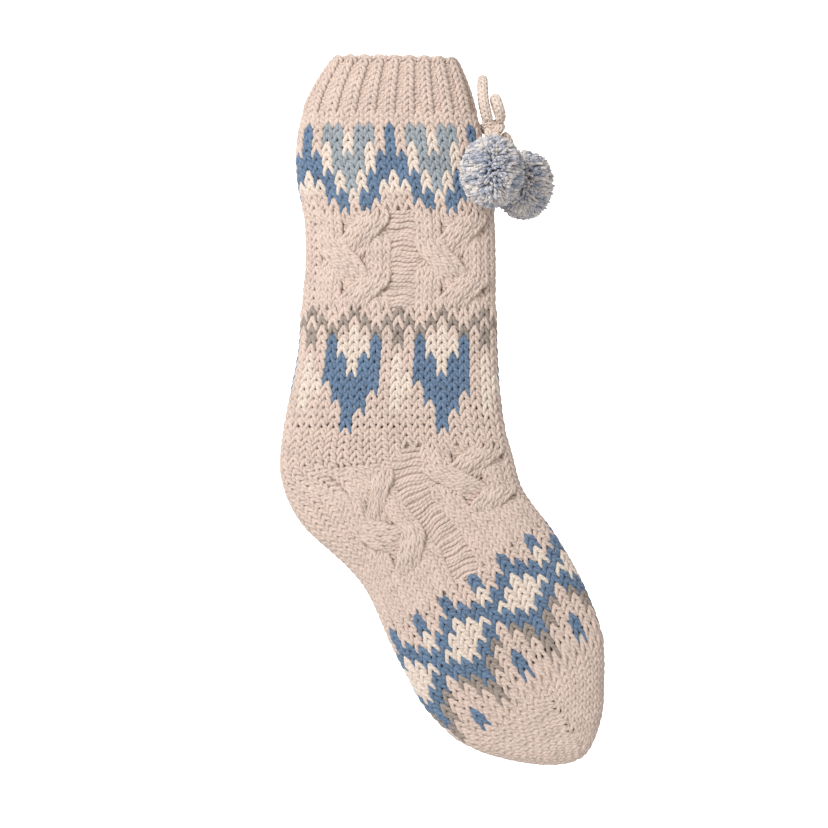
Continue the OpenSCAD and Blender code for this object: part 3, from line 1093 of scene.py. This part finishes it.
# Painted shade: these dark colours of the skin behind the stitches stand for the shade in the gaps and
# inside the stocking; grain and patch add random tone.
SHADE_BACKING_STOPS = [
    (0.3, from_srgb(122, 100, 88)),
    (0.6, from_srgb(158, 136, 122)),
    (0.8, from_srgb(186, 164, 150)),
]


def shade_backing_material():
    """Painted shade: a darker, duller colour seen between the stitches and inside the cuff, where shade
    falls.
    """
    nodes = Nodes("painted_shade_backing")
    grain = nodes.noise(700.0, 4.0)
    patch = nodes.noise(90.0, 2.0)
    tone = nodes.weighted((grain, 0.6), (patch, 0.4))
    nodes.bump(grain, 0.8, 0.0006)
    nodes.surface(nodes.ramp(tone, SHADE_BACKING_STOPS), roughness=0.95, specular=0.1)
    return nodes.mat


def make_fabric():
    """All knitted sections from the cuff to the toe."""
    pieces = place_yarns({"O": make_cuff()}, "cuff", "leg", ["cuff_edge", "cuff_rib"])
    upper = {}
    knit_chart(upper, CUFF_END, UPPER_START, ["OO"], 0, EDGE_YARN)
    knit_chart(upper, UPPER_START, LEG_START, UPPER_CHART, 6, BAND_YARN)
    pieces += place_yarns(upper, "upper_band_knit", "leg", ["upper_band", "upper_floats"])
    pieces += place_yarns({"O": make_leg_cables()}, "leg_cables_knit", "leg", ["leg_cables"])
    lower = {}
    knit_chart(lower, LOWER_START, HEEL_START, LOWER_CHART, 6, BAND_YARN)
    pieces += place_yarns(lower, "lower_band_knit", None, ["lower_band", "lower_floats"])
    pieces += place_yarns({"O": make_heel()}, "heel_knit", None, ["heel_cup", "ankle_gusset"])
    pieces += place_yarns({"O": make_foot_cables()}, "foot_cables_knit", None, ["foot_cables"])
    foot = {}
    knit_chart(foot, FOOT_START, TOE_START, FOOT_CHART, 2, BAND_YARN, foot_wale)
    pieces += place_yarns(foot, "foot_band_knit", None, ["foot_band", "foot_floats"])
    pieces += place_yarns({"O": make_toe()}, "toe_knit", "foot", ["toe_cap", "toe_graft"])
    # a dark skin of painted shade behind all the stitches
    shade_backing = make_shade_backing()
    across_ankle(shade_backing)


# ---- tie, knot and pom-poms

CORD = 5.8  # diameter
CORD_WALES = 4
CORD_PITCH = 2.5
CORD_YARN = 0.86
KNOT_CORD = 5.4
LOOP_HALVES = {"front": [
    (3.4, -2.8, -20.8), (2.2, -5, -17), (1, -6.6, -11.5), (0.2, -6.9, -6),
    (0, -5.6, -1), (0, -3, 1.9), (0, 0, 2.9),
], "rear": [
    (9.9, -3, -20.6), (10.2, -4.8, -18), (9.6, -6.9, -15.2), (8.4, -8, -12),
    (7.5, -6.4, -9.2), (7.2, -3.2, -8.3), (7.1, 0, -8.2),
]}
TAILS = {"front": [
    (7.1, -5.2, -29.5), (7, -7.8, -30.3), (6.7, -10.8, -31.5), (6.4, -13.6, -33.2),
    (6.1, -16, -35.9), (5.7, -18.6, -39.6), (5.2, -22, -44.5), (4.5, -26.5, -51), (4.1, -29.3, -55.1),
], "rear": [
    (12.2, 1.3, -28), (14, 2.2, -30.2), (15.1, 3, -32.8), (16, 3.7, -35.7), (17, 4.2, -38.3),
    (18.6, 4.9, -42.4), (20.7, 5.8, -47.7), (23.5, 7, -54.8), (25.7, 7.9, -60.3),
]}
POMPOMS = {"front": ((4.5, -26.5, -51.0), 18.5), "rear": ((23.5, 7.0, -54.8), 18.0)}  # middle, radius
KNOT = np.array([5.7, 0.0, -25.2])
KNOT_SIZE = np.array([1.6, 2.415, 1.6])  # the knot's line reaches three times this in x and z, once in y


def fine_line(points, step=0.5):
    """The smooth line through a cord's route points, in even steps."""
    points = np.array(points, float)
    dense = smooth(points, np.linspace(0, len(points) - 1, len(points) * 24))
    run = walked(dense)
    even = np.linspace(0, run[-1], int(run[-1] / step) + 1)
    return np.stack([np.interp(even, run, dense[:, i]) for i in range(3)], axis=-1)


def both_sides(half):
    """A whole loop from its mirrored half."""
    return half + [(x, -y, z) for x, y, z in half[-2::-1]]


def carried_frame(line):
    """Two directions across a line, carried along it without twisting."""
    tangent = unit(np.gradient(line, axis=0))
    first = np.zeros_like(line)
    guess = np.array([1.0, 0, 0]) if abs(tangent[0][0]) < 0.8 else np.array([0, 1.0, 0])
    for i, way in enumerate(tangent):
        guess = unit(guess - way * np.dot(guess, way))
        first[i] = guess
    return tangent, first, np.cross(tangent, first)


def knitted_cord(line, diameter=CORD):
    """A round knitted cord: wales of small stitches round one line, and a core."""
    tube = Yarn()
    tangent, across, up = carried_frame(line)
    ring = diameter / 2 - CORD_YARN * (1 + STITCH_LIFT)
    run = walked(line)
    count = max(2, round(run[-1] / CORD_PITCH) - 1)
    rows = run / run[-1] * (count + 0.9) - 0.2
    for k in range(CORD_WALES):
        turn = 2 * math.pi * (k + 0.37) / CORD_WALES
        normal = across * math.cos(turn) + up * math.sin(turn)
        side = np.cross(normal, tangent) * (2 * math.pi * ring / CORD_WALES)
        wale = {"rows": rows, "centre": line + normal * ring, "side": side, "normal": normal}
        tube.knit(wale, np.arange(count), CORD_YARN)
    tube.add(line[None, ::2], across[None, ::2], ring * 0.95)
    return tube


def make_cord(node, route, body):
    """A free cord along its route, in place of its CAD node."""
    line = fine_line(route)
    obj = knitted_cord(line).build(f"{node}_cord", CORD_WOOL)
    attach(obj, body)
    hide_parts(node)


def make_knot():
    """A trefoil of the cord, snug round the four cord ends."""
    t = np.linspace(0, 2 * math.pi, 160)
    x = np.sin(t) + 2 * np.sin(2 * t)
    z = np.cos(t) - 2 * np.cos(2 * t)
    line = KNOT + KNOT_SIZE * np.stack([x, -np.sin(3 * t), z], axis=-1)
    obj = knitted_cord(line, KNOT_CORD).build("tie_knot", CORD_WOOL)
    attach(obj, "leg")
    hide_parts("bow_knot", "cord_anchor")


def even_directions(count):
    """Directions spread evenly over a ball, a little shaken."""
    i = np.arange(count) + 0.5
    z = 1 - 2 * i / count
    turn = math.pi * (1 + 5**0.5) * i
    flat = np.sqrt(1 - z * z)
    way = np.stack([flat * np.cos(turn), flat * np.sin(turn), z], axis=-1)
    return unit(way + rng.normal(0, 0.035, way.shape))


TUFT_SAMPLES = 8
STRANDS = 1800
LOCKS = 150
GATHERED = 0.38  # how far a strand leans to the middle of its lock
ROOT_SQUASH = 0.38  # strands start off flatter in x, since the binding goes round there
CUT_LENGTH = 0.955  # where the shears pass, as a share of the radius
CUT_SHAKE = 0.035
LOCK_SHAKE = 0.03
SHORTEST = 0.82
STRAND_BEND = 1.5
SAG = np.array([0, 0, -0.9])
TUFT_SHAPE = np.array([0.98, 1.0, 1.10])
STRAND_YARN = 0.74
STRAY_YARN = 0.22


def tuft_paths(radius):
    """Centre lines, normals, bends and locks of one pom-pom's cut strands."""
    tips = even_directions(STRANDS)
    locks = even_directions(LOCKS)
    nearest = np.argmax(tips @ locks.T, axis=1)
    aimed = unit(tips * (1 - GATHERED) + locks[nearest] * GATHERED)
    uneven = rng.normal(0, CUT_SHAKE, STRANDS) + rng.normal(0, LOCK_SHAKE, LOCKS)[nearest]
    reach = np.clip(radius * (CUT_LENGTH + uneven), radius * SHORTEST, radius)
    bend = unit(np.cross(aimed, rng.normal(0, 1, (STRANDS, 3)))) * rng.normal(0, STRAND_BEND, (STRANDS, 1))
    t = np.linspace(0, 1, TUFT_SAMPLES)[None, :, None]
    root = unit(tips * np.array([ROOT_SQUASH, 1, 1]))[:, None]
    way = unit(root * (1 - t**0.9) + aimed[:, None] * t**0.9)
    path = way * reach[:, None, None] * (0.45 + 0.55 * t**0.75)
    path = path + bend[:, None] * np.sin(math.pi * t) + bend[:, None] * 1.1 * t**3 + SAG * t**2
    normal = unit(np.cross(aimed, unit(rng.normal(0, 1, (STRANDS, 3)))))
    return path, np.broadcast_to(normal[:, None], path.shape), bend, nearest


def make_pompom(side):
    """Cut yarn ends standing out from a tied middle, gathered into small locks."""
    middle, radius = POMPOMS[side]
    path, normal, bend, nearest = tuft_paths(radius)
    thick = (STRAND_YARN + 0.16 * rng.random((STRANDS, 1))) * np.linspace(0.8, 1.06, TUFT_SAMPLES)[None, :]
    tone = 0.55 * rng.random(STRANDS) + 0.45 * rng.random(LOCKS)[nearest]
    path = path * TUFT_SHAPE
    tuft = Yarn(sides=6)
    tuft.add(path + middle, normal, thick, taper=0.35, shade=tone)
    t = np.linspace(0, 1, TUFT_SAMPLES)[None, :, None]
    stray = path[::3] * (1 + 0.07 * rng.random((len(path[::3]), 1, 1))) + 0.8 * bend[::3, None] * t
    tuft.add(stray + middle, normal[::3], STRAY_YARN, taper=0.6, shade=0.3 + 0.6 * tone[::3])
    obj = tuft.build(f"pompom_{side}_tuft", TUFT_WOOL)
    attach(obj, f"pompom_{side}_body")
    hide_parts(f"pompom_{side}", f"pompom_{side}_binding")
    return obj


TUFT_STOPS = [
    (0.14, from_srgb(136, 150, 172)),
    (0.32, from_srgb(166, 174, 190)),
    (0.48, from_srgb(198, 197, 204)),
    (0.62, from_srgb(221, 213, 208)),
    (0.88, from_srgb(240, 233, 227)),
]


def tuft_material():
    """Cut strands, each of its own tone, with fine plies along it and a little painted shade in their
    grooves.
    """
    nodes = Nodes("pompom_wool")
    ply = twisted_ply(nodes, TUFT_TWIST)
    fibre = nodes.noise(3200.0, 3.0)
    # ply paints a little shade into the grooves between plies and a highlight on their crests; shade and
    # fibre are each strand's own tone
    tone = nodes.weighted((nodes.attribute("shade"), 0.78), (ply, 0.10), (fibre, 0.16))
    nodes.bump(nodes.maths("ADD", ply, fibre), 0.7, 0.0002)
    nodes.surface(nodes.ramp(tone, TUFT_STOPS), roughness=0.9, specular=0.2, sheen=0.3)
    return nodes.mat


TUFT_WOOL = tuft_material()


def make_tie():
    """The knot, the pom-poms, the loops and the tails."""
    make_knot()
    tufts = {side: make_pompom(side) for side in ("front", "rear")}
    for side, half in LOOP_HALVES.items():
        make_cord(f"bow_loop_{side}", both_sides(half), f"loop_{side}")
    for side, route in TAILS.items():
        make_cord(f"tail_{side}", route, f"tail_{side}_body")


# ---- the scene


make_camera()
make_stage()
make_light()
make_tie()
make_fabric()
